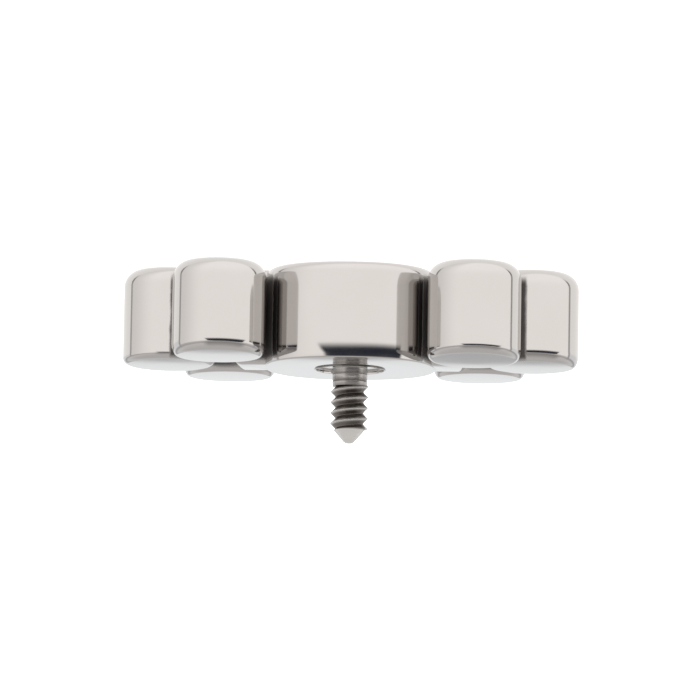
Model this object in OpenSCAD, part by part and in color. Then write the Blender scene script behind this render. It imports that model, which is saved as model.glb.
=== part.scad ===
// Threaded piercing top: a polished metal cluster of rounded pucks on a screw post.
// It lies as it would on a table, show face down at z = 0, with the post up along +Z.
// X runs along the cluster. The post's axis is the Z axis. All sizes are in millimetres.

/* [Cluster] */
// Thickness from the show face to the underside
top_h = 2.25; // [2.0:0.05:2.5]
// Diameter of the centre puck
centre_d = 4.0; // [3.8:0.05:4.1]
// Diameter of each side lobe
lobe_d = 2.14; // [2.1:0.02:2.3]
// Distance along X from the post to each end lobe's centre
end_lobe_x = 4.18; // [4.14:0.02:4.2]
// Distance along X from the post to each corner lobe's centre
corner_lobe_x = 2.91; // [2.88:0.01:2.94]
// Distance along Y from the post to each corner lobe's centre
corner_lobe_y = 1.6; // [1.56:0.01:1.62]

/* [Edges] */
// Radius of each lobe's rounded edge at the show face
lobe_show_edge = 0.4; // [0.2:0.05:0.5]
// Radius of each lobe's rounded edge at the underside
lobe_back_edge = 0.2; // [0.1:0.05:0.4]
// Radius of the centre puck's rounded edge at the show face
centre_show_edge = 0.2; // [0.1:0.05:0.3]
// Radius of the centre puck's rounded edge at the underside
centre_back_edge = 0.08; // [0.05:0.01:0.12]

/* [Bridges] */
// Width of the bridge from the centre puck to each group of three lobes
bridge_w = 1.36; // [1.28:0.04:1.6]
// Distance along X from the post to the bridge's end, at the small gap between the lobes
bridge_x = 2.66; // [2.6:0.02:2.8]

/* [Seat] */
// Diameter of the shallow seat round the post
seat_d = 1.56; // [1.3:0.02:1.8]
// Depth of the shallow seat
seat_depth = 0.07; // [0.04:0.01:0.15]

/* [Post] */
// Height of the post's tip above the underside
post_h = 1.72; // [1.4:0.02:2.2]
// Diameter of the post's plain neck
neck_d = 0.81; // [0.78:0.01:0.84]
// Height of the plain neck above the underside
neck_h = 0.4; // [0.38:0.02:0.5]
// Diameter of the hidden shank that is pressed into the cluster
shank_d = 0.54; // [0.5:0.01:0.56]
// How far below the underside the shank reaches
shank_depth = 1.2; // [0.8:0.05:1.5]
// Gap between the shank and its hole, and between the neck and the seat
post_gap = 0.01; // [0.01:0.005:0.02]

/* [Thread] */
// Diameter over the thread's crests
thread_d = 0.88; // [0.86:0.01:0.9]
// Diameter at the thread's root
thread_root_d = 0.65; // [0.62:0.01:0.68]
// Rise of the thread in one turn
thread_pitch = 0.245; // [0.225:0.005:0.25]
// Share of one turn's rise that is flat crest
crest_share = 0.12; // [0.08:0.02:0.2]
// Share of one turn's rise that is flat root
root_share = 0.3; // [0.2:0.02:0.4]
// Radius of the flat at the end of the pointed tip
tip_r = 0.09; // [0.05:0.01:0.15]
// Height of the pointed tip
tip_h = 0.34; // [0.25:0.01:0.4]

/* [Hidden] */
circle_sides = 96;
thread_sides = 20;
slices_per_turn = 20;
// The post runs up from the bottom of its hole to its tip.
hole_floor_z = top_h - shank_depth;
seat_z = top_h - seat_depth;
neck_top_z = top_h + neck_h;
tip_z = top_h + post_h;
cone_z = tip_z - tip_h;
// The thread starts a little way down the neck and runs out in the tip, where a cone trims it.
thread_start_z = neck_top_z - 0.03;
thread_h = tip_z - thread_start_z;
thread_turns = thread_h / thread_pitch;
// The trimming cone is drawn larger than the thread all along the straight part.
trim_r = thread_d / 2 + 0.05;
cone_foot_r = thread_root_d / 2 + 0.06;

// A puck: a short cylinder with a rounded edge at each face.
module puck(d, show_edge, back_edge) {
    middle_h = top_h - show_edge - back_edge;
    rotate_extrude($fn = circle_sides) {
        translate([0, show_edge]) square([d / 2, middle_h]);
        square([d / 2 - show_edge, show_edge]);
        translate([0, top_h - back_edge]) square([d / 2 - back_edge, back_edge]);
        intersection() {
            translate([d / 2 - show_edge, show_edge]) circle(show_edge);
            square([d / 2, show_edge]);
        }
        intersection() {
            translate([d / 2 - back_edge, top_h - back_edge]) circle(back_edge);
            translate([0, top_h - back_edge]) square([d / 2, back_edge]);
        }
    }
}

// A bar from the centre puck to the two corner lobes.
module bridge() {
    translate([0, -bridge_w / 2, 0]) cube([bridge_x, bridge_w, top_h]);
}

// The three lobes and the bridge at the +X end.
module lobe_group() {
    translate([end_lobe_x, 0, 0]) puck(lobe_d, lobe_show_edge, lobe_back_edge);
    for (row = [-1, 1])
        translate([corner_lobe_x, row * corner_lobe_y, 0])
            puck(lobe_d, lobe_show_edge, lobe_back_edge);
    bridge();
}

// The whole cluster is one piece of metal, with a seat and a blind hole for the post.
module lobed_top() {
    color("silver")
        difference() {
            union() {
                puck(centre_d, centre_show_edge, centre_back_edge);
                for (side = [0, 1]) mirror([side, 0, 0]) lobe_group();
            }
            translate([0, 0, seat_z]) cylinder(d = seat_d, h = seat_depth + 1, $fn = circle_sides);
            translate([0, 0, hole_floor_z])
                cylinder(d = shank_d + 2 * post_gap, h = shank_depth + 1, $fn = circle_sides);
        }
}

// Radius of the thread at a share of one turn: flat root, rising flank, crest, falling flank.
function thread_radius(share) =
    let (
        flank = (1 - root_share - crest_share) / 2,
        rise = (share - root_share) / flank,
        fall = (1 - share) / flank
    )
    thread_root_d / 2 + (thread_d - thread_root_d) / 2 * max(0, min(1, rise, fall));

// One slice across the thread. Turned as it rises, it makes a right-hand thread.
module thread_slice() {
    polygon([for (i = [0 : thread_sides - 1])
        let (share = i / thread_sides)
        thread_radius(share) * [cos(-360 * share), sin(-360 * share)]]);
}

module thread() {
    intersection() {
        translate([0, 0, thread_start_z])
            linear_extrude(
                height = thread_h,
                twist = -360 * thread_turns,
                slices = ceil(thread_turns * slices_per_turn)
            )
                thread_slice();
        union() {
            translate([0, 0, hole_floor_z]) cylinder(r = trim_r, h = cone_z - hole_floor_z, $fn = 48);
            translate([0, 0, cone_z]) cylinder(r1 = cone_foot_r, r2 = tip_r, h = tip_h, $fn = 48);
        }
    }
}

// A turned pin: hidden shank in its hole, plain neck, screw thread and pointed tip.
module threaded_post() {
    color("gray") {
        translate([0, 0, hole_floor_z])
            cylinder(d = shank_d, h = neck_top_z - hole_floor_z, $fn = circle_sides);
        translate([0, 0, seat_z + post_gap])
            cylinder(d = neck_d, h = neck_top_z - seat_z - post_gap, $fn = circle_sides);
        thread();
    }
}

lobed_top();
threaded_post();
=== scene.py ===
"""A threaded piercing top: a mirror-polished cluster of rounded pucks on a turned screw post.

It lies on its show face with the post up. The camera is rolled half a turn, so the post hangs down in
the picture. Sizes are in millimetres unless a comment says otherwise, and each piece is brought to metres
when it is finished.
"""

import bmesh
import bpy
from math import atan, atan2, cos, pi, radians, sin
from mathutils import Matrix, Vector

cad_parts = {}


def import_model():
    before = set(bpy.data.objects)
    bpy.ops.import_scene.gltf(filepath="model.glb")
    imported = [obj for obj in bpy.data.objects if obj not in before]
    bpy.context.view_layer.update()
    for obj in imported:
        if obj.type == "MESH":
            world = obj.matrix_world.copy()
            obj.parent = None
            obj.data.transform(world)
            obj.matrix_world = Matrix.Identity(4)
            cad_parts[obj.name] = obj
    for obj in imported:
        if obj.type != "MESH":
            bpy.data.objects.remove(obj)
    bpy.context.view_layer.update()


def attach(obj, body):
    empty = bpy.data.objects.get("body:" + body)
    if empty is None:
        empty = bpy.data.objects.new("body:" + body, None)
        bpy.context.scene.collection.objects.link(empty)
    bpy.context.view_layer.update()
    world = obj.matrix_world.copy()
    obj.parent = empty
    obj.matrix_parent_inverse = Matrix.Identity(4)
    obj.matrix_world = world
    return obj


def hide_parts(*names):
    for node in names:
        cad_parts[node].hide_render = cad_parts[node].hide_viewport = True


MM = 0.001

# Distance from a rounded edge to the line that keeps the flat or the wall beside it true
HOLD = 0.02

# Cluster: its thickness, and the radii and places of its pucks
TOP_H = 2.25
CENTRE_R = 2.0
LOBE_R = 1.07
END_LOBE_X = 4.18
CORNER_LOBE_X = 2.91
CORNER_LOBE_Y = 1.6

# Lobes: the rounded edges at the show face and at the underside, and the widths of the rings that divide
# each flat face, from its edge inwards
LOBE_SHOW_EDGE = 0.4
LOBE_BACK_EDGE = 0.14
LOBE_RINGS = (HOLD, 0.15, 0.25, 0.25)
# Polishing leaves each lobe's underside this much lower at its rim than in its middle.
LOBE_CROWN = 0.02
# It also leaves the lobes a little unlike. For the front corner, end and back corner lobe of each side:
# how high the rounded edge at the underside is, how far the underside lies below the centre puck's, and
# its slope down towards the front.
FINISHES = {
    1: ((0.28, 0.055, 0.02), (0.14, 0.055, 0.025), (0.28, 0.0, 0.0)),
    -1: ((0.2, 0.0, 0.055), (0.27, 0.055, 0.025), (0.28, 0.0, 0.0)),
}

# Centre puck: its rounded edges at the show face and at the underside
CENTRE_SHOW_EDGE = 0.22
CENTRE_BACK_EDGE = 0.02
# Its wall leans in a little near the underside, where it was polished: over this height, by this much,
# and with a bend of this size where the lean starts.
LEAN_H = 0.245
LEAN_IN = 0.0365
LEAN_BEND = 0.15
# Beyond this radius its underside slopes down towards its front edge. Rings at the next radii divide the
# slope, which is this deep at the edge and deepens with this power of the way there. The outline is a
# little squarer than a circle, by this share of its radius.
MARGIN_R = 1.3
MARGIN_RINGS = (1.8, 1.65, 1.5, 1.4)
MARGIN_DROP = 0.03
MARGIN_POWER = 1.3
SQUARENESS = 0.045

# Bridge, from inside the centre puck to the small gap in the middle of three lobes
BRIDGE_W = 1.36
BRIDGE_START_X = 1
BRIDGE_END_X = 2.66
BRIDGE_EDGE = 0.2
# Its faces lie this much below the flat faces of the pucks.
BRIDGE_SINK = 0.03

# Seat and hole for the post
SEAT_R = 0.78
SEAT_DEPTH = 0.04
SEAT_Z = TOP_H - SEAT_DEPTH
HOLE_R = 0.28
HOLE_FLOOR_Z = 1.05
# A fine raised lip runs round the seat.
LIP_W = 0.03
LIP_H = 0.025
LIP_LEAN = 0.0025
LIP_EDGE = LIP_W / 5

# Post: the shank in the hole, with this gap under the neck's shoulder, and the neck
SHANK_R = 0.27
POST_GAP = 0.01
NECK_R = 0.405
NECK_TOP_Z = 2.65
NECK_TOP_SINK = 0.012
# Turned bands on the neck. Each starts in a fine groove with a raised line above it, and from there its
# face tapers towards the tip. The groove's and the face's depths are taken from the top of that line.
NECK_BANDS = ((2.235, 2.375), (2.38, 2.54), (2.545, 2.64))
BAND_GROOVE = 0.008
BAND_LINE_H = 0.012
BAND_FACE = 0.003
BAND_TAPER = 0.05

# Thread and tip
THREAD_R = 0.44
THREAD_ROOT_R = 0.325
THREAD_PITCH = 0.245
THREAD_START_Z = 2.62
# Where the crest lies, as a share of one turn, and how fast the flanks fall away from it
CREST_AT = 0.65
FLANK_POWER = 1.3
TIP_Z = 3.97
TIP_R = 0.09
TIP_H = 0.34
TIP_EDGE = 0.06
# The shape that cuts the thread to a point is this much wider than its crests all along the straight
# part, and this much wider than its root at the foot of the point.
CREST_CLEARANCE = 0.05
POINT_CLEARANCE = 0.06

# How finely round shapes and rounded edges are divided
PUCK_SIDES = 200
POST_SIDES = 96
THREAD_SIDES = 80
STEPS_PER_TURN = 48
EDGE_STEPS = 10
LOBE_BACK_STEPS = 20
LEAN_STEPS = 6
SMALL_EDGE_STEPS = 5
LIP_STEPS = 3

# Points this close are merged, edges this short are dropped, and measures this close count as the same.
MERGE_DIST = 0.0002
SHORT_EDGE = 0.0003
SAME_WITHIN = 0.0005
# Two edges that bend less than this at a point between them can be one edge, in degrees.
SLIGHT_BEND = 35
# Each piece is shaded smooth over edges that bend less than this, in degrees.
CLUSTER_CREASE = 24
POST_CREASE = 30


def clean(shape):
    """Merges doubles and turns every face outwards."""
    bmesh.ops.remove_doubles(shape, verts=shape.verts, dist=MERGE_DIST)
    bmesh.ops.recalc_face_normals(shape, faces=shape.faces)


def to_object(shape, name):
    """Makes an object of a bmesh."""
    mesh = bpy.data.meshes.new(name)
    shape.to_mesh(mesh)
    shape.free()
    thing = bpy.data.objects.new(name, mesh)
    bpy.context.scene.collection.objects.link(thing)
    return thing


def combine(base, other, how):
    """Unites base with other or keeps what they share, and removes other."""
    step = base.modifiers.new(how.lower(), "BOOLEAN")
    step.operation = how
    step.solver = "EXACT"
    step.object = other
    bpy.context.view_layer.update()
    view = bpy.context.evaluated_depsgraph_get()
    done = bpy.data.meshes.new_from_object(base.evaluated_get(view))
    base.modifiers.clear()
    base.data = done
    bpy.data.objects.remove(other)
    return base


def rim_edges(shape, z, radius=None):
    """The edges that lie level at height z, at one distance from the Z axis if radius is given."""
    found = []
    for edge in shape.edges:
        level = all(abs(v.co.z - z) < SAME_WITHIN for v in edge.verts)
        near = radius is None or all(abs(v.co.xy.length - radius) < SAME_WITHIN for v in edge.verts)
        if level and near:
            found.append(edge)
    return found


def round_edges(shape, edges, size, steps):
    """Rounds edges to an arc."""
    bmesh.ops.bevel(
        shape,
        geom=edges,
        offset=size,
        offset_type="OFFSET",
        segments=steps,
        profile=0.5,
        affect="EDGES",
        clamp_overlap=True,
        material=-1,
    )


def turned(profile, sides):
    """Turns a profile of (radius, z) points about the Z axis."""
    shape = bmesh.new()
    points = [shape.verts.new((r, 0, z)) for r, z in profile]
    edges = [shape.edges.new(pair) for pair in zip(points, points[1:])]
    bmesh.ops.spin(
        shape,
        geom=points + edges,
        cent=(0, 0, 0),
        axis=(0, 0, 1),
        dvec=(0, 0, 0),
        angle=2 * pi,
        steps=sides,
        use_merge=True,
        use_normal_flip=False,
        use_duplicate=False,
    )
    clean(shape)
    return shape


def lobe(x, y, finish):
    """One lobe: a short round bar with rounded rims and a slightly crowned underside."""
    edge_h, drop, slope = finish
    shape = bmesh.new()
    bmesh.ops.create_cone(
        shape, cap_ends=True, segments=PUCK_SIDES, radius1=LOBE_R, radius2=LOBE_R, depth=TOP_H
    )
    bmesh.ops.translate(shape, verts=shape.verts, vec=(0, 0, TOP_H / 2))
    round_edges(shape, rim_edges(shape, 0), LOBE_SHOW_EDGE, EDGE_STEPS)
    round_edges(shape, rim_edges(shape, TOP_H), LOBE_BACK_EDGE, LOBE_BACK_STEPS)
    # The rounded edge at the underside is stretched to its own height.
    back_edge = [v for v in shape.verts if v.co.z > TOP_H - LOBE_BACK_EDGE - SAME_WITHIN]
    bmesh.ops.scale(
        shape,
        verts=back_edge,
        vec=(1, 1, edge_h / LOBE_BACK_EDGE),
        space=Matrix.Translation((0, 0, -TOP_H)),
    )
    for z in (LOBE_SHOW_EDGE + HOLD, TOP_H - edge_h - HOLD):
        bmesh.ops.bisect_plane(
            shape,
            geom=shape.verts[:] + shape.edges[:] + shape.faces[:],
            dist=MERGE_DIST,
            plane_co=(0, 0, z),
            plane_no=(0, 0, 1),
        )
    # Only the two flat faces have more than four corners.
    flats = [face for face in shape.faces if len(face.verts) > 4]
    for width in LOBE_RINGS:
        bmesh.ops.inset_individual(shape, faces=flats, thickness=width, use_even_offset=True)
    for v in shape.verts:
        if v.co.z > TOP_H / 2:
            crown = LOBE_CROWN * (v.co.xy.length / LOBE_R) ** 2
            v.co.z -= drop + crown - slope * v.co.y
    bmesh.ops.translate(shape, verts=shape.verts, vec=(x, y, 0))
    return to_object(shape, "lobe")


def centre_profile():
    """Half the centre puck, cut through its axis: show face, wall, underside, lip, seat and hole."""
    waist = CENTRE_R - LEAN_IN
    # The leaning wall stays straight up to the rounded edge.
    held_h = CENTRE_BACK_EDGE + HOLD / 2
    held_r = waist + LEAN_IN * held_h / LEAN_H
    lip_r = SEAT_R + LIP_W
    return [
        (0, 0),
        (CENTRE_R - CENTRE_SHOW_EDGE - HOLD, 0),
        (CENTRE_R, 0),
        (CENTRE_R, CENTRE_SHOW_EDGE + HOLD),
        (CENTRE_R, TOP_H - LEAN_H - LEAN_BEND - HOLD),
        (CENTRE_R, TOP_H - LEAN_H),
        (held_r, TOP_H - held_h),
        (waist, TOP_H),
        (waist - CENTRE_BACK_EDGE - HOLD, TOP_H),
        *((r, TOP_H) for r in MARGIN_RINGS),
        (MARGIN_R, TOP_H),
        (lip_r + HOLD, TOP_H),
        (lip_r, TOP_H),
        (lip_r - LIP_LEAN, TOP_H + LIP_H),
        (SEAT_R + LIP_LEAN, TOP_H + LIP_H),
        (SEAT_R, SEAT_Z),
        (HOLE_R, SEAT_Z),
        (HOLE_R, HOLE_FLOOR_Z),
        (0, HOLE_FLOOR_Z),
    ]


def centre_puck():
    """The centre puck with its seat and blind hole."""
    shape = turned(centre_profile(), PUCK_SIDES)
    round_edges(shape, rim_edges(shape, 0, CENTRE_R), CENTRE_SHOW_EDGE, EDGE_STEPS)
    round_edges(shape, rim_edges(shape, TOP_H - LEAN_H, CENTRE_R), LEAN_BEND, LEAN_STEPS)
    round_edges(shape, rim_edges(shape, TOP_H, CENTRE_R - LEAN_IN), CENTRE_BACK_EDGE, SMALL_EDGE_STEPS)
    round_edges(shape, rim_edges(shape, TOP_H + LIP_H), LIP_EDGE, LIP_STEPS)
    for v in shape.verts:
        margin = max(0, (v.co.xy.length - MARGIN_R) / (CENTRE_R - MARGIN_R))
        # This goes from 0 on the axes to 1 halfway between them, where a square has its corners.
        corner = sin(2 * atan2(v.co.y, v.co.x)) ** 2
        v.co.xy *= 1 + SQUARENESS * corner * min(1, margin)
        if v.co.z > TOP_H / 2:
            v.co.z -= MARGIN_DROP * margin ** MARGIN_POWER * (1 - v.co.y / CENTRE_R) / 2
    return to_object(shape, "polished_cluster")


def bridge(side):
    """The bar that joins the centre puck to the group of lobes on one side."""
    shape = bmesh.new()
    bmesh.ops.create_cube(shape, size=1)
    length = BRIDGE_END_X - BRIDGE_START_X
    middle = (BRIDGE_END_X + BRIDGE_START_X) / 2
    bmesh.ops.scale(shape, verts=shape.verts, vec=(length, BRIDGE_W, TOP_H - 2 * BRIDGE_SINK))
    bmesh.ops.translate(shape, verts=shape.verts, vec=(side * middle, 0, TOP_H / 2))
    round_edges(shape, shape.edges[:], BRIDGE_EDGE, EDGE_STEPS)
    return to_object(shape, "bridge")


def polished_cluster():
    """The whole cluster, fused to one skin with a crease where two pucks meet."""
    cluster = centre_puck()
    for side, (front, end, back) in FINISHES.items():
        parts = [
            bridge(side),
            lobe(side * END_LOBE_X, 0, end),
            lobe(side * CORNER_LOBE_X, -CORNER_LOBE_Y, front),
            lobe(side * CORNER_LOBE_X, CORNER_LOBE_Y, back),
        ]
        for part in parts:
            combine(cluster, part, "UNION")
    return cluster


def thread_radius(share):
    """The thread's radius at a share of one turn: a sharp crest, hollow flanks and a round root."""
    from_crest = abs((share - CREST_AT + 0.5) % 1 - 0.5)
    return THREAD_ROOT_R + (THREAD_R - THREAD_ROOT_R) * (1 - 2 * from_crest) ** FLANK_POWER


def long_thread():
    """The thread past its tip: one slice across it, turned as it rises, like a right-hand screw."""
    shape = bmesh.new()
    turns = (TIP_Z + THREAD_PITCH - THREAD_START_Z) / THREAD_PITCH
    steps = round(turns * STEPS_PER_TURN)
    made = bmesh.ops.create_circle(shape, cap_ends=True, segments=THREAD_SIDES, radius=1)
    for v in made["verts"]:
        share = (atan2(-v.co.y, v.co.x) / (2 * pi)) % 1
        v.co *= thread_radius(share)
    bmesh.ops.translate(shape, verts=shape.verts, vec=(0, 0, THREAD_START_Z))
    bmesh.ops.spin(
        shape,
        geom=shape.faces[:],
        cent=(0, 0, 0),
        axis=(0, 0, 1),
        dvec=(0, 0, turns * THREAD_PITCH / steps),
        angle=2 * pi * turns,
        steps=steps,
        use_merge=False,
        use_normal_flip=False,
        use_duplicate=False,
    )
    clean(shape)
    return to_object(shape, "thread")


def pointed_thread():
    """The thread, cut to a point with a rounded end."""
    thread = long_thread()
    point_z = TIP_Z - TIP_H
    cut = turned(
        [
            (0, HOLE_FLOOR_Z),
            (THREAD_R + CREST_CLEARANCE, HOLE_FLOOR_Z),
            (THREAD_R + CREST_CLEARANCE, point_z),
            (THREAD_ROOT_R + POINT_CLEARANCE, point_z),
            (TIP_R, TIP_Z),
            (0, TIP_Z),
        ],
        POST_SIDES,
    )
    round_edges(cut, rim_edges(cut, TIP_Z, TIP_R), TIP_EDGE, SMALL_EDGE_STEPS)
    return combine(thread, to_object(cut, "cut"), "INTERSECT")


def screw_post():
    """The post: a hidden shank, a neck with turned bands, and the thread."""
    thread = pointed_thread()
    shoulder_z = SEAT_Z + POST_GAP
    profile = [(0, HOLE_FLOOR_Z), (SHANK_R, HOLE_FLOOR_Z), (SHANK_R, shoulder_z), (NECK_R, shoulder_z)]
    for start_z, end_z in NECK_BANDS:
        taper = BAND_TAPER * (end_z - start_z - 2 * BAND_LINE_H)
        profile += [
            (NECK_R - BAND_GROOVE, start_z),
            (NECK_R, start_z + BAND_LINE_H),
            (NECK_R - BAND_FACE, start_z + 2 * BAND_LINE_H),
            (NECK_R - BAND_FACE - taper, end_z),
        ]
    profile += [(NECK_R - NECK_TOP_SINK, NECK_TOP_Z), (0, NECK_TOP_Z)]
    post = to_object(turned(profile, POST_SIDES), "screw_post")
    return combine(post, thread, "UNION")


def finish_piece(thing, crease):
    """Brings a piece to metres and shades it smooth between its creases."""
    mesh = thing.data
    shape = bmesh.new()
    shape.from_mesh(mesh)
    bmesh.ops.dissolve_degenerate(shape, edges=shape.edges, dist=SHORT_EDGE)
    clean(shape)
    # A point with a slight bend between its only two edges adds less than a thousandth of a millimetre
    # of shape, but the faces on both sides of it would be cut into the same sliver there.
    spare = [
        v
        for v in shape.verts
        if len(v.link_edges) == 2 and v.calc_edge_angle() < radians(SLIGHT_BEND)
    ]
    bmesh.ops.dissolve_verts(shape, verts=spare)
    shape.to_mesh(mesh)
    shape.free()
    mesh.transform(Matrix.Scale(MM, 4))
    mesh.shade_smooth()
    mesh.set_sharp_from_angle(angle=radians(crease))


def metres(lengths):
    """Lengths in millimetres, brought to metres."""
    return [length * MM for length in lengths]


class Nodes:
    """The node tree of a material or of the world, with short ways to add nodes and join them."""

    def __init__(self, tree):
        self.tree = tree
        tree.nodes.clear()

    def add(self, kind, **settings):
        """A new node with its settings."""
        node = self.tree.nodes.new(kind)
        for name, value in settings.items():
            setattr(node, name, value)
        return node

    def join(self, source, target):
        """Joins an output to an input."""
        self.tree.links.new(source, target)

    def place(self, coordinates):
        """Texture coordinates: whole, and split into x, y and z."""
        whole = self.add("ShaderNodeTexCoord").outputs[coordinates]
        split = self.add("ShaderNodeSeparateXYZ")
        self.join(whole, split.inputs["Vector"])
        return whole, split.outputs

    def noise(self, place, scale, detail=2):
        """Cloudy noise over a place."""
        node = self.add("ShaderNodeTexNoise")
        node.inputs["Scale"].default_value = scale
        node.inputs["Detail"].default_value = detail
        self.join(place, node.inputs["Vector"])
        return node.outputs["Fac"]

    def math(self, operation, first, second=None):
        """One sum on outputs or numbers."""
        node = self.add("ShaderNodeMath", operation=operation)
        for socket, source in zip(node.inputs, (first, second)):
            if isinstance(source, bpy.types.NodeSocket):
                self.join(source, socket)
            elif source is not None:
                socket.default_value = source
        return node.outputs[0]

    def product(self, first, second):
        """Two outputs or numbers, multiplied."""
        return self.math("MULTIPLY", first, second)

    def distance(self, off_x, off_y):
        """The straight distance from two distances at a right angle."""
        square = self.math("ADD", self.product(off_x, off_x), self.product(off_y, off_y))
        return self.math("SQRT", square)

    def ramp(self, source, span, levels=(0, 1)):
        """A smooth change from one level to another as the source crosses a span."""
        node = self.add("ShaderNodeMapRange", interpolation_type="SMOOTHSTEP")
        self.join(source, node.inputs["Value"])
        for name, value in zip(("From Min", "From Max", "To Min", "To Max"), (*span, *levels)):
            node.inputs[name].default_value = value
        return node.outputs["Result"]

    def band(self, source, rise, fall, level=1):
        """A mask that rises from 0 to a level across one span, and falls back across another."""
        return self.product(self.ramp(source, rise, (0, level)), self.ramp(source, fall, (1, 0)))

    def blend(self, share, first, second):
        """A colour between two others."""
        node = self.add("ShaderNodeMix", data_type="RGBA")
        self.join(share, node.inputs["Factor"])
        for name, source in (("A", first), ("B", second)):
            socket = [s for s in node.inputs if s.name == name and s.type == "RGBA"][0]
            if isinstance(source, bpy.types.NodeSocket):
                self.join(source, socket)
            else:
                socket.default_value = (*source, 1)
        return [s for s in node.outputs if s.type == "RGBA"][0]


def new_material(name):
    """An empty material with a Principled shader, and its nodes."""
    material = bpy.data.materials.new(name)
    material.use_nodes = True
    nodes = Nodes(material.node_tree)
    shader = nodes.add("ShaderNodeBsdfPrincipled")
    output = nodes.add("ShaderNodeOutputMaterial")
    nodes.join(shader.outputs["BSDF"], output.inputs["Surface"])
    return material, nodes, shader


# Nearly all of a noise's values lie between these.
NOISE_SPAN = (0.3, 0.7)

# Polished titanium: the size of its faint haze, and its colours and roughness from haze to haze
HAZE_SCALE = 900
HAZE_DETAIL = 4
POLISHED_COLOURS = ((0.53, 0.51, 0.495), (0.56, 0.545, 0.535))
POLISHED_ROUGHNESS = (0.06, 0.1)

# The crevices keep a dull film, darkened with painted shade: where each one lies across a quarter of the
# cluster, the distances from there between which it fades out, and how strong it is. They lie between the
# centre puck and a corner lobe, between a corner lobe and the end lobe, and in the small gap in the middle
# of three lobes.
CREVICES = (
    ((1.95, 0.8), (0.4, 0.47), 0.94),
    ((3.795, 0.998), (0.24, 0.32), 0.94),
    ((3.0, 0.0), (0.55, 0.75), 0.8),
)
# The film and its painted shade stop short of both faces, where a wheel reaches: they set in and fade out
# between these heights.
FILM_SHADE_RISE = (0.15, 0.4)
FILM_SHADE_FALL = (TOP_H - 0.2, TOP_H - 0.06)
# Its edge wanders over this width, with noise of this scale.
FILM_SHADE_WANDER = 0.06
FILM_SHADE_SCALE = 3500
# The film's dark colour is painted shade.
FILM_SHADE_COLOUR = (0.055, 0.047, 0.043)
FILM_ROUGHNESS = 0.45
FILM_GLOSS = 0.2

# A fine dark line of painted shade lies along the outside of the seat's lip: how far from its middle it
# fades out, and between which heights it sets in.
LIP_SHADE_FADE = (0.012, 0.022)
LIP_SHADE_RISE = (2.16, 2.2)
LIP_SHADE_COLOUR = (0.19, 0.18, 0.17)


def crevice_patch(nodes, x, y, centre, reach, thickness):
    """A mask that falls from a strength to 0 between two distances from an upright line."""
    off_x = nodes.math("SUBTRACT", x, centre[0] * MM)
    off_y = nodes.math("SUBTRACT", y, centre[1] * MM)
    return nodes.ramp(nodes.distance(off_x, off_y), metres(reach), (thickness, 0))


def crevice_film_and_shade(nodes, place, x, y, z):
    """A mask for the dull film and its painted shade in the crevices, whose edge wanders a little."""
    wander = nodes.math("SUBTRACT", nodes.noise(place, FILM_SHADE_SCALE), 0.5)
    # The cluster is the same on all four sides, so one quarter of it states all the crevices.
    x = nodes.math("ADD", nodes.math("ABSOLUTE", x), nodes.product(wander, FILM_SHADE_WANDER * MM))
    y = nodes.math("ABSOLUTE", y)
    film_and_shade, *patches = [crevice_patch(nodes, x, y, *crevice) for crevice in CREVICES]
    for patch in patches:
        film_and_shade = nodes.math("MAXIMUM", film_and_shade, patch)
    return nodes.product(film_and_shade, nodes.band(z, metres(FILM_SHADE_RISE), metres(FILM_SHADE_FALL)))


def polished_titanium():
    """Mirror-polished titanium with a faint haze, and a dull film with painted shade in crevices no wheel
    reaches.
    """
    material, nodes, shader = new_material("polished_titanium")
    place, (x, y, z) = nodes.place("Object")
    haze = nodes.noise(place, HAZE_SCALE, HAZE_DETAIL)
    film_and_shade = crevice_film_and_shade(nodes, place, x, y, z)
    # The crevices darken to the film's colour, which is painted shade.
    colour = nodes.blend(film_and_shade, nodes.blend(haze, *POLISHED_COLOURS), FILM_SHADE_COLOUR)

    # A fine line of painted shade round the outside of the seat's lip.
    from_lip = nodes.math("SUBTRACT", nodes.distance(x, y), (SEAT_R + LIP_W) * MM)
    line = nodes.ramp(nodes.math("ABSOLUTE", from_lip), metres(LIP_SHADE_FADE), (1, 0))
    line = nodes.product(line, nodes.ramp(z, metres(LIP_SHADE_RISE)))
    nodes.join(nodes.blend(line, colour, LIP_SHADE_COLOUR), shader.inputs["Base Color"])

    roughness = nodes.ramp(haze, NOISE_SPAN, POLISHED_ROUGHNESS)
    roughness = nodes.math("ADD", roughness, nodes.product(film_and_shade, FILM_ROUGHNESS))
    nodes.join(roughness, shader.inputs["Roughness"])
    nodes.join(nodes.math("SUBTRACT", 1, film_and_shade), shader.inputs["Metallic"])
    shader.inputs["Specular IOR Level"].default_value = FILM_GLOSS
    return material


# Turned titanium: tool lines run round the post, as noise that hardly changes across it.
TOOL_LINE_SCALE = 30000
TOOL_LINE_SQUEEZE = (0.04, 0.04, 1)
TURNED_ROUGHNESS = (0.22, 0.34)
# Its colour holds painted shade in the thread's roots and painted highlights on its crests, changing
# between these radii. The point takes the lighter colours from its foot on, with a change this high.
ROOT_SHADE_COLOURS = ((0.15, 0.135, 0.125), (0.22, 0.2, 0.185))
CREST_HIGHLIGHT_COLOURS = ((0.66, 0.64, 0.62), (0.78, 0.76, 0.74))
SHADE_TO_HIGHLIGHT_RADII = (0.375, 0.43)
POINT_CHANGE_H = 0.05


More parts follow.
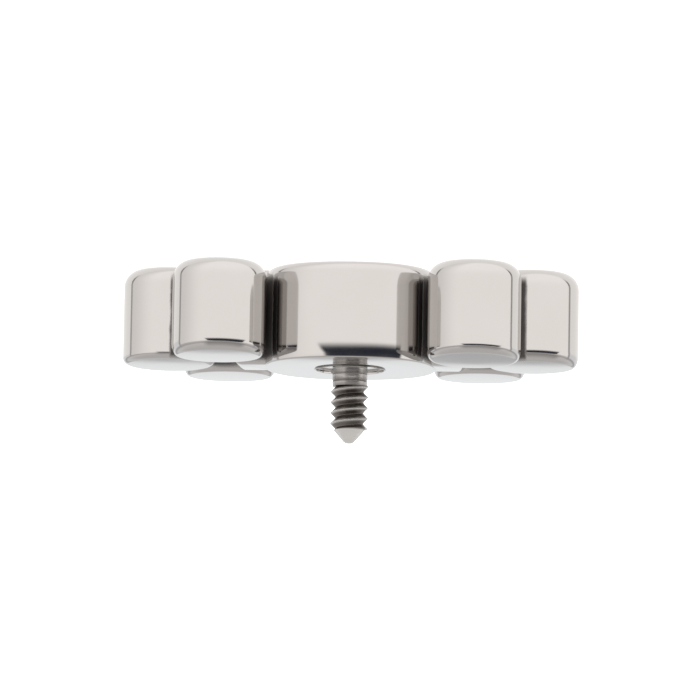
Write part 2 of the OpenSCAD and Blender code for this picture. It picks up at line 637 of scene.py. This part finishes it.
def turned_titanium():
    """Turned titanium with fine tool lines round it, painted highlights on the crests and painted shade in
    the roots.
    """
    material, nodes, shader = new_material("turned_titanium")
    shader.inputs["Metallic"].default_value = 1
    place, (x, y, z) = nodes.place("Object")
    squeeze = nodes.add("ShaderNodeMapping")
    squeeze.inputs["Scale"].default_value = TOOL_LINE_SQUEEZE
    nodes.join(place, squeeze.inputs["Vector"])
    lines = nodes.noise(squeeze.outputs["Vector"], TOOL_LINE_SCALE)
    # Painted highlights on the crests and painted shade in the roots, by radius.
    crest_highlight = nodes.ramp(nodes.distance(x, y), metres(SHADE_TO_HIGHLIGHT_RADII))
    point_z = TIP_Z - TIP_H
    point = nodes.ramp(z, metres((point_z, point_z + POINT_CHANGE_H)))
    painted_highlight = nodes.math("MAXIMUM", crest_highlight, point)
    colour = nodes.blend(
        painted_highlight, nodes.blend(lines, *ROOT_SHADE_COLOURS), nodes.blend(lines, *CREST_HIGHLIGHT_COLOURS)
    )
    nodes.join(colour, shader.inputs["Base Color"])
    nodes.join(nodes.ramp(lines, NOISE_SPAN, TURNED_ROUGHNESS), shader.inputs["Roughness"])
    return material


# Floor, in metres
FLOOR_R = 3
FLOOR_SIDES = 64
FLOOR_COLOUR = (0.9, 0.9, 0.9, 1)
FLOOR_GLOW = 0.75


def pale_floor():
    """A plain pale floor that glows a little, which keeps its shadow faint."""
    material, nodes, shader = new_material("pale_floor")
    shader.inputs["Base Color"].default_value = FLOOR_COLOUR
    shader.inputs["Roughness"].default_value = 1
    shader.inputs["Specular IOR Level"].default_value = 0
    shader.inputs["Emission Color"].default_value = (1, 1, 1, 1)
    shader.inputs["Emission Strength"].default_value = FLOOR_GLOW
    return material


def build_floor():
    """The floor, which the metal doesn't mirror."""
    shape = bmesh.new()
    bmesh.ops.create_circle(shape, cap_ends=True, segments=FLOOR_SIDES, radius=FLOOR_R)
    floor = to_object(shape, "floor")
    floor.data.materials.append(pale_floor())
    floor.visible_glossy = False


# A white light tent, as the metal mirrors it. A place on it is given by its turn, the way round from the
# front towards -X in radians, and by how far down it is, from -1 straight over the post to 1 straight under
# the show face. Each pair of these is where a change starts and where it is complete.
FRONT_COLOURS = ((1.35, 1.315, 1.28), (1.44, 1.41, 1.38))
FRONT_DOWN = (0.1, 0.8)
# The front is a little darker towards +X.
SHADE_TURNS = (-1.85, -0.6)
SHADE_SHARE = 0.3
SHADE_COLOUR = (0.3, 0.295, 0.29)
# Over the post the tent is greyer, and dimmer still over the slit, at these turns from its middle.
OVERHEAD_COLOURS = ((0.72, 0.705, 0.695), (0.85, 0.83, 0.82))
OVERHEAD_DOWN = (-0.95, -0.3)
OVERHEAD_END = (-0.32, -0.17)
OVER_SLIT_TURNS = (0.7, 1.1)
OVER_SLIT_DOWN = (-0.9, -0.35)
OVER_SLIT_COLOUR = (0.44, 0.425, 0.415)
# A dim line runs round the front, above the slit.
LINE_RISE = (-0.4, -0.32)
LINE_FALL = (-0.19, -0.15)
LINE_SHARE = 0.45
LINE_COLOUR = (0.3, 0.29, 0.285)
# The camera looks through a dark slit, with its middle at this turn. Half its width, in radians, goes from
# the first to the second of these widths as the slit sets in, plus the spread times how far down it is. Its
# soft edge lies between these shares of half its width.
SLIT_TURN = 0.39
SLIT_RISE = (-0.27, -0.16)
SLIT_FALL = (-0.06, 0.085)
SLIT_WIDTHS = (0.4, 0.91)
SLIT_SPREAD = 0.7
SLIT_EDGE = (0.92, 1.03)
SLIT_COLOUR = (0.035, 0.04, 0.055)
# The back is cooler: its colour over the post, and the colours that take over further down
BACK_OVERHEAD = (0.72, 0.71, 0.7)
BACK_COLOURS = (
    ((-0.75, -0.45), (0.86, 0.86, 0.86)),
    ((-0.42, -0.29), (0.58, 0.58, 0.59)),
    ((-0.235, -0.19), (1.0, 1.02, 1.035)),
    ((-0.02, 0.1), (1.2, 1.18, 1.16)),
)
BACK_TURNS = (1.82, 1.9)
# A dark seam runs up each side, where the front meets the back. Its colour changes from the +X side to the
# -X side, and is darker low down.
SEAM_TURNS = ((1.78, 1.84), (1.88, 1.96))
SEAM_DOWN = ((-0.5, -0.1), (0.45, 0.75))
SEAM_SIDES = (-1, 1)
SEAM_COLOURS = ((0.5, 0.49, 0.48), (0.46, 0.45, 0.44))
LOW_SEAM_DOWN = (0.18, 0.35)
LOW_SEAM_COLOUR = (0.24, 0.23, 0.225)


def tent_front(tent, turn, down):
    """The tent's warm front, with the part over the post and the dark slit."""
    front = tent.blend(tent.ramp(down, FRONT_DOWN), *FRONT_COLOURS)
    front = tent.blend(tent.ramp(turn, SHADE_TURNS, (SHADE_SHARE, 0)), front, SHADE_COLOUR)

    overhead = tent.blend(tent.ramp(down, OVERHEAD_DOWN), *OVERHEAD_COLOURS)
    from_slit = tent.math("ABSOLUTE", tent.math("SUBTRACT", turn, SLIT_TURN))
    over_slit = tent.product(
        tent.ramp(from_slit, OVER_SLIT_TURNS, (1, 0)), tent.ramp(down, OVER_SLIT_DOWN)
    )
    overhead = tent.blend(over_slit, overhead, OVER_SLIT_COLOUR)
    front = tent.blend(tent.ramp(down, OVERHEAD_END), overhead, front)

    front = tent.blend(tent.band(down, LINE_RISE, LINE_FALL, LINE_SHARE), front, LINE_COLOUR)
    half_width = tent.math(
        "ADD", tent.product(down, SLIT_SPREAD), tent.ramp(down, SLIT_RISE, SLIT_WIDTHS)
    )
    across = tent.math("DIVIDE", from_slit, half_width)
    slit = tent.product(tent.ramp(across, SLIT_EDGE, (1, 0)), tent.band(down, SLIT_RISE, SLIT_FALL))
    return tent.blend(slit, front, SLIT_COLOUR)


def tent_back(tent, down):
    """The tent's cool back."""
    back = BACK_OVERHEAD
    for span, colour in BACK_COLOURS:
        back = tent.blend(tent.ramp(down, span), back, colour)
    return back


def tent_around(tent, turn, down):
    """The whole tent: its front and back, and the seams between them."""
    aside = tent.math("ABSOLUTE", turn)
    around = tent.blend(
        tent.ramp(aside, BACK_TURNS), tent_front(tent, turn, down), tent_back(tent, down)
    )
    seam = tent.product(tent.band(aside, *SEAM_TURNS), tent.band(down, *SEAM_DOWN))
    colour = tent.blend(tent.ramp(turn, SEAM_SIDES), *SEAM_COLOURS)
    colour = tent.blend(tent.ramp(down, LOW_SEAM_DOWN), colour, LOW_SEAM_COLOUR)
    return tent.blend(seam, around, colour)


def build_studio():
    """Plain white light, and the light tent wherever the metal mirrors it."""
    world = bpy.data.worlds.new("light_tent")
    bpy.context.scene.world = world
    world.use_nodes = True
    tent = Nodes(world.node_tree)
    _, (x, y, z) = tent.place("Generated")
    turn = tent.math("ARCTAN2", tent.product(x, -1), tent.product(y, -1))
    down = tent.product(z, -1)
    mirrored = tent.add("ShaderNodeBackground")
    tent.join(tent_around(tent, turn, down), mirrored.inputs["Color"])
    plain = tent.add("ShaderNodeBackground")
    plain.inputs["Color"].default_value = (1, 1, 1, 1)
    path = tent.add("ShaderNodeLightPath")
    pick = tent.add("ShaderNodeMixShader")
    tent.join(path.outputs["Is Glossy Ray"], pick.inputs["Fac"])
    tent.join(plain.outputs["Background"], pick.inputs[1])
    tent.join(mirrored.outputs["Background"], pick.inputs[2])
    output = tent.add("ShaderNodeOutputWorld")
    tent.join(pick.outputs["Shader"], output.inputs["Surface"])


# The photograph's view, in degrees: the way round from the front, the way up to the post's side, and how
# far the picture is tilted
CAMERA_AZIMUTH = -3.7
CAMERA_ELEVATION = 7.6
CAMERA_ROLL = 0.95
# The distance of the camera and the size of a pixel at the object, in millimetres
CAMERA_DISTANCE = 140
PIXEL = 0.023
# Half the picture's side, and how far the seat's centre lies below the picture's, in pixels
HALF_PICTURE = 350
SEAT_DOWN = 19.4
# The nearest and the furthest that the camera sees, in metres
CLIP_START = 0.01
CLIP_END = 20


def build_camera():
    """The photograph's view with a long lens, rolled half a turn so that the post hangs down."""
    azimuth = radians(CAMERA_AZIMUTH)
    elevation = radians(CAMERA_ELEVATION)
    distance = CAMERA_DISTANCE * MM
    pixel = PIXEL * MM
    seat = Vector((0, 0, TOP_H * MM))
    back = Vector((sin(azimuth) * cos(elevation), -cos(azimuth) * cos(elevation), sin(elevation)))
    across = -Vector((cos(azimuth), sin(azimuth), 0))
    up = back.cross(across)
    turn = Matrix((across, up, back)).transposed() @ Matrix.Rotation(radians(CAMERA_ROLL), 3, "Z")
    data = bpy.data.cameras.new("camera")
    camera = bpy.data.objects.new("camera", data)
    bpy.context.scene.collection.objects.link(camera)
    target = seat + turn @ Vector((0, SEAT_DOWN * pixel, 0))
    camera.matrix_world = Matrix.Translation(target + back * distance) @ turn.to_4x4()
    data.sensor_fit = "HORIZONTAL"
    data.angle = 2 * atan(HALF_PICTURE * pixel / distance)
    data.clip_start = CLIP_START
    data.clip_end = CLIP_END
    bpy.context.scene.camera = camera


# Light bounces many times between the polished walls that face each other.
LIGHT_BOUNCES = 24


def set_light():
    """Plain colours, and enough bounces of light."""
    scene = bpy.context.scene
    scene.view_settings.view_transform = "Standard"
    scene.cycles.max_bounces = LIGHT_BOUNCES
    scene.cycles.glossy_bounces = LIGHT_BOUNCES
    scene.cycles.min_light_bounces = LIGHT_BOUNCES


def main():
    """Loads the frame, dresses it with the two pieces and sets up the picture."""
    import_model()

    cluster = polished_cluster()
    finish_piece(cluster, CLUSTER_CREASE)
    cluster.data.materials.append(polished_titanium())
    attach(cluster, "root")
    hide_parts("lobed_top")

    post = screw_post()
    finish_piece(post, POST_CREASE)
    post.data.materials.append(turned_titanium())
    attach(post, "root")
    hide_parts("threaded_post")

    build_floor()
    build_studio()
    build_camera()
    set_light()


main()
